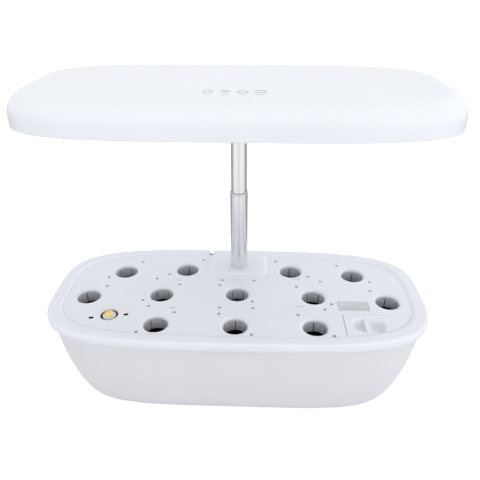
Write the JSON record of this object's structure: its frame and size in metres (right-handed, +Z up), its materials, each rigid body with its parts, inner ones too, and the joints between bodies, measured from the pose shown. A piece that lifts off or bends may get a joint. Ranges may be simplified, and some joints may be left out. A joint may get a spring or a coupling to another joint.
{
  "type": "countertop hydroponic garden",
  "caption": "Countertop hydroponic garden: a tapered water tank under a socketed planting deck, with a lamp hood on a telescopic pole that slides and turns.",
  "frame": {"origin": "on the table, under the middle of the planting deck", "axes": "+X to the right along the deck's long side, +Y to the back where the pole stands, +Z up"},
  "size_m": [0.43, 0.197, 0.3572],
  "materials": {
    "white_plastic": "smooth white, soft sheen",
    "brushed_steel": "satin stainless",
    "grey_rubber": "matte",
    "yellow_plastic": "smooth yellow",
    "black_plastic": "fine matte black",
    "dark_sponge": "open-cell sponge and potting resin",
    "circuit_board": "solder mask",
    "aluminium_board": "plain sheet",
    "clear_diffuser": "frosted clear"
  },
  "bodies": {
    "tank": {"water_tank": "white_plastic", "foot_1": "grey_rubber", "foot_2": "grey_rubber", "foot_3": "grey_rubber", "foot_4": "grey_rubber", "pump_housing": "black_plastic", "pump_coil": "dark_sponge", "pump_shaft": "brushed_steel", "pump_front": "black_plastic", "pump_cover": "black_plastic", "pump_filter": "dark_sponge", "pump_outlet": "black_plastic", "pump_cup_1": "grey_rubber", "pump_cup_2": "grey_rubber", "pump_cup_3": "grey_rubber", "pump_cup_4": "grey_rubber"},
    "impeller": {"impeller": "white_plastic"},
    "deck": {"grow_deck": "white_plastic", "float_guide": "black_plastic", "pole_socket": "white_plastic", "socket_screw_1": "brushed_steel", "socket_screw_2": "brushed_steel", "socket_screw_3": "brushed_steel", "socket_screw_4": "brushed_steel", "lower_tube": "brushed_steel"},
    "door": {"fill_door": "white_plastic"},
    "float": {"water_float": "white_plastic", "float_tip": "yellow_plastic"},
    "upper_pole": {"upper_tube": "brushed_steel", "glide_plug": "white_plastic"},
    "hood": {"hood_top": "white_plastic", "hood_base": "white_plastic", "pole_bracket": "white_plastic", "led_board": "aluminium_board", "light_diffuser": "clear_diffuser", "driver_board": "circuit_board", "touch_board": "circuit_board", "touch_spring_1": "brushed_steel", "touch_spring_2": "brushed_steel", "touch_spring_3": "brushed_steel", "touch_spring_4": "brushed_steel", "hood_screw_1": "brushed_steel", "hood_screw_2": "brushed_steel", "hood_screw_3": "brushed_steel", "hood_screw_4": "brushed_steel", "hood_screw_5": "brushed_steel", "hood_screw_6": "brushed_steel", "bracket_screw_1": "brushed_steel", "bracket_screw_2": "brushed_steel", "bracket_screw_3": "brushed_steel", "bracket_screw_4": "brushed_steel", "power_jack": "black_plastic", "pump_jack": "black_plastic"}
  },
  "joints": [
    {"name": "deck_lift", "type": "slide", "parent": "tank", "child": "deck", "axis": [0, 0, 1], "range_m": [0, 0.15]},
    {"name": "door_lift", "type": "slide", "parent": "deck", "child": "door", "axis": [0, 0, 1], "range_m": [0, 0.05]},
    {"name": "float_rise", "type": "slide", "parent": "deck", "child": "float", "axis": [0, 0, 1], "range_m": [0, 0.021]},
    {"name": "pole_slide", "type": "slide", "parent": "deck", "child": "upper_pole", "axis": [0, 0, 1], "range_m": [-0.085, 0.02]},
    {"name": "hood_turn", "type": "hinge", "parent": "upper_pole", "child": "hood", "pos_m": [0, 0.057, 0.3263], "axis": [0, 0, 1], "range_deg": [-90, 90]},
    {"name": "impeller_spin", "type": "hinge", "parent": "tank", "child": "impeller", "pos_m": [-0.03, 0.03, 0.0237], "axis": [0, 1, 0], "continuous": true}
  ]
}
